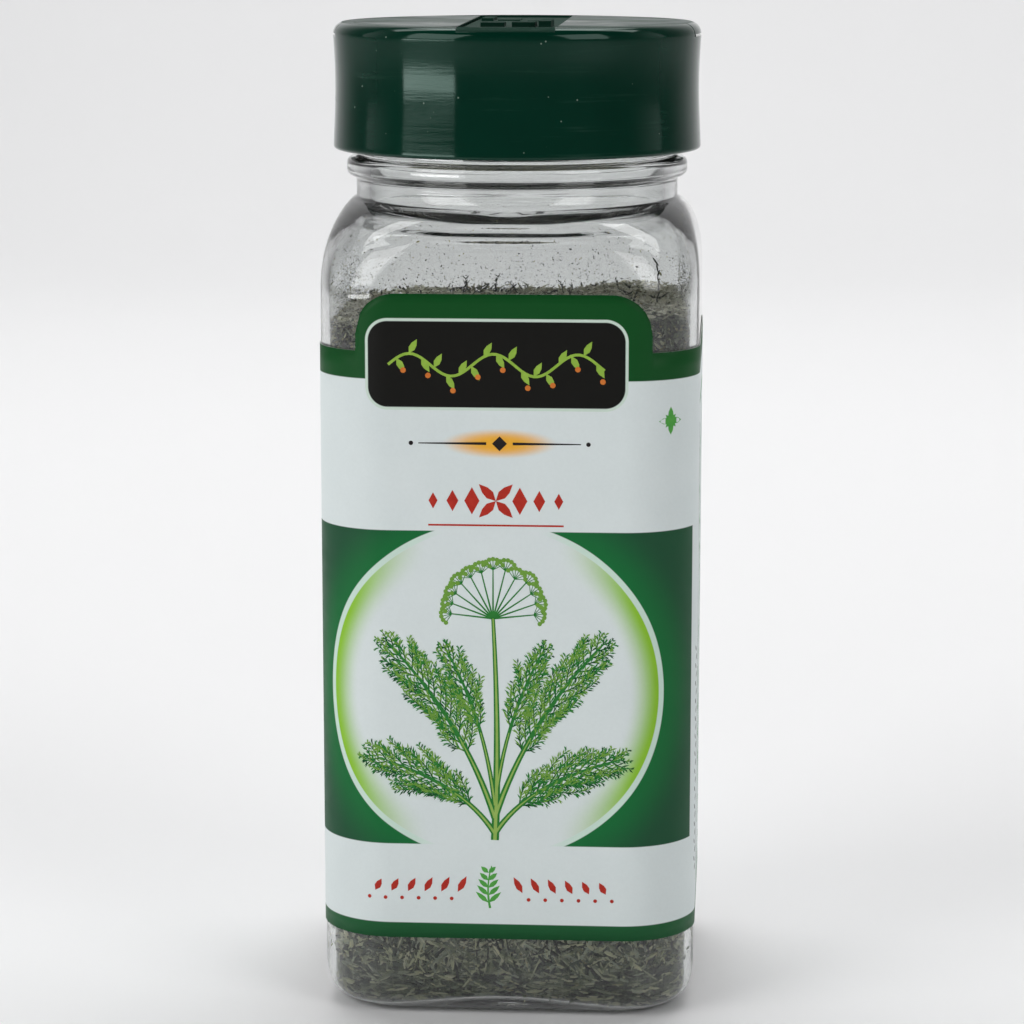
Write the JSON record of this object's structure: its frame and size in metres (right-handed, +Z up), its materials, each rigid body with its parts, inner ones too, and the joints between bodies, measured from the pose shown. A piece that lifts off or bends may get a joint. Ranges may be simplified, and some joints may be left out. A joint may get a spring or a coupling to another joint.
{
  "type": "jar of dried dill",
  "caption": "Square clear spice jar of chopped dried dill, with a wraparound label and a screw cap that has a sifter flap and a pouring flap.",
  "frame": {"origin": "middle of the foot, on the surface that the jar stands on", "axes": "+Z up along the jar's axis, -Y out of the front of the label, +X to the right as seen from the front"},
  "size_m": [0.047, 0.047, 0.1214],
  "materials": {
    "clear_plastic": "clear moulded bottle plastic, faintly green",
    "label_film": "printed satin label",
    "dried_dill": "dry matte chopped leaf",
    "liner_foam": "white foam sealing ring",
    "green_plastic": "glossy dark green moulded plastic"
  },
  "bodies": {
    "jar": {"jar": "clear_plastic", "label": "label_film", "dill": "dried_dill"},
    "liner": {"liner": "liner_foam"},
    "cap": {"cap": "green_plastic"},
    "flap_sift": {"flap_sift": "green_plastic"},
    "flap_pour": {"flap_pour": "green_plastic"}
  },
  "joints": [
    {"name": "cap_lift", "type": "slide", "parent": "jar", "child": "liner", "axis": [0, 0, 1], "range_m": [0, 0.00636]},
    {"name": "cap_turn", "type": "hinge", "parent": "liner", "child": "cap", "pos_m": [0, 0, 0.1], "axis": [0, 0, 1], "range_deg": [0, 540]},
    {"name": "flap_sift_hinge", "type": "hinge", "parent": "cap", "child": "flap_sift", "pos_m": [-0.0057, 0, 0.1214], "axis": [0, 1, 0], "range_deg": [0, 105]},
    {"name": "flap_pour_hinge", "type": "hinge", "parent": "cap", "child": "flap_pour", "pos_m": [0.0057, 0, 0.1214], "axis": [0, -1, 0], "range_deg": [0, 105]}
  ],
  "couplings": [
    {"joint": "cap_lift", "follows": "cap_turn", "m_per_rad": 0.00067322}
  ]
}
